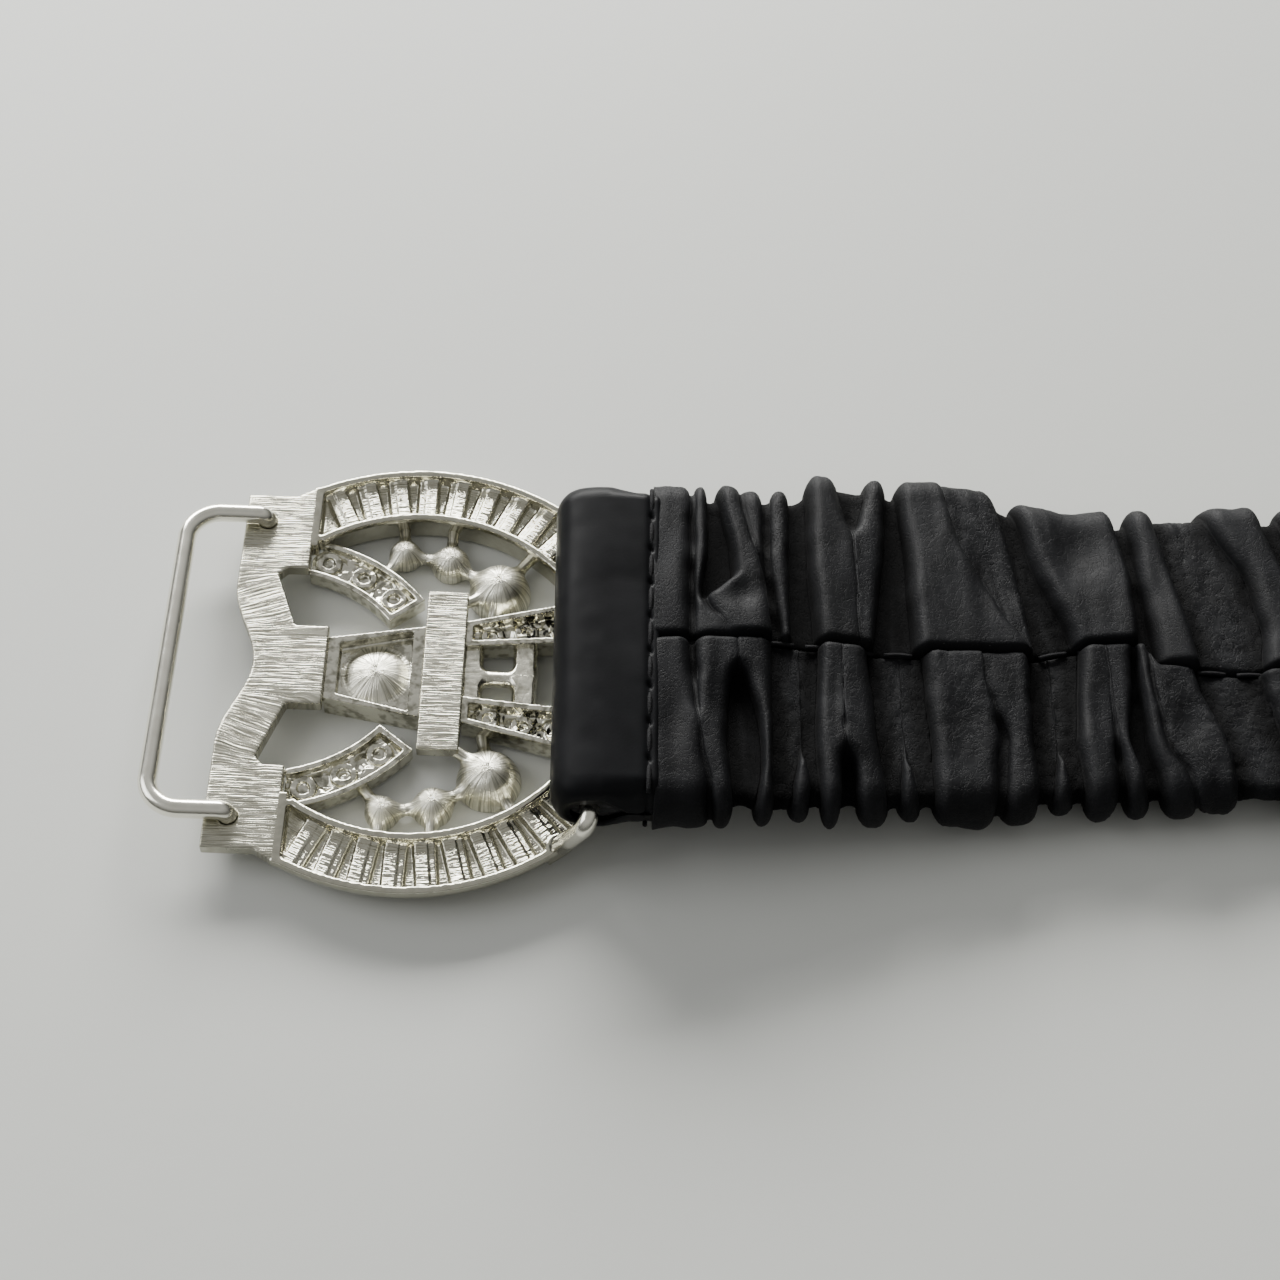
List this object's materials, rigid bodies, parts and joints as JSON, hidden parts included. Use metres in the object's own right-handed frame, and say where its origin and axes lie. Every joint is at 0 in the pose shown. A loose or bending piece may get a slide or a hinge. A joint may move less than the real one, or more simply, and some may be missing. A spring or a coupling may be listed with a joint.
{
  "type": "belt buckle",
  "caption": "Openwork plated buckle with channel-set stones, a wire bail at each side and a gathered black leather elastic strap end sewn round one bail.",
  "frame": {"origin": "under the centre of the stone ring, on the surface that the buckle lies on front down; the face there is the front rim of the square setting", "axes": "+X along the belt from the ring towards the strap, +Y across the strap, +Z out of the buckle's back"},
  "size_m": [0.1158, 0.046, 0.0114],
  "materials": {
    "plated_casting": "brushed and as-cast, bright plated",
    "plated_wire": "polished",
    "crystal": "faceted, clear",
    "black_leather": "semi-gloss",
    "elastic_webbing": "matt weave",
    "black_thread": "satin"
  },
  "bodies": {
    "buckle": {"side_plate": "plated_casting", "ring_channel": "plated_casting", "ring_stones": "crystal", "upper_arc_setting": "plated_casting", "lower_arc_setting": "plated_casting", "arc_stones": "crystal", "square_setting": "plated_casting", "centre_stone": "crystal", "centre_bar": "plated_casting", "upper_row_setting": "plated_casting", "lower_row_setting": "plated_casting", "row_stones": "crystal", "row_bridge": "plated_casting", "upper_cup_cluster": "plated_casting", "lower_cup_cluster": "plated_casting", "large_beads": "crystal", "small_beads": "crystal", "left_bail": "plated_wire", "right_bail": "plated_wire"},
    "strap": {"tab_leather": "black_leather", "elastic_loop": "elastic_webbing", "tab_stitches": "black_thread", "elastic_core": "elastic_webbing", "ruched_sleeve": "black_leather", "seam_stitches": "black_thread"},
    "strap_end": {"end_tab": "black_leather", "end_stitches": "black_thread"}
  },
  "joints": [
    {"name": "strap_swing", "type": "hinge", "parent": "buckle", "child": "strap", "pos_m": [0.01635, 0, 0.0073], "axis": [0, -1, 0], "range_deg": [0, 120]},
    {"name": "strap_stretch", "type": "slide", "parent": "strap", "child": "strap_end", "axis": [0.9976, 0.0698, 0], "range_m": [0, 0.012], "stiffness_N_per_m": 120, "deforming": ["ruched_sleeve", "elastic_core", "seam_stitches"]}
  ]
}
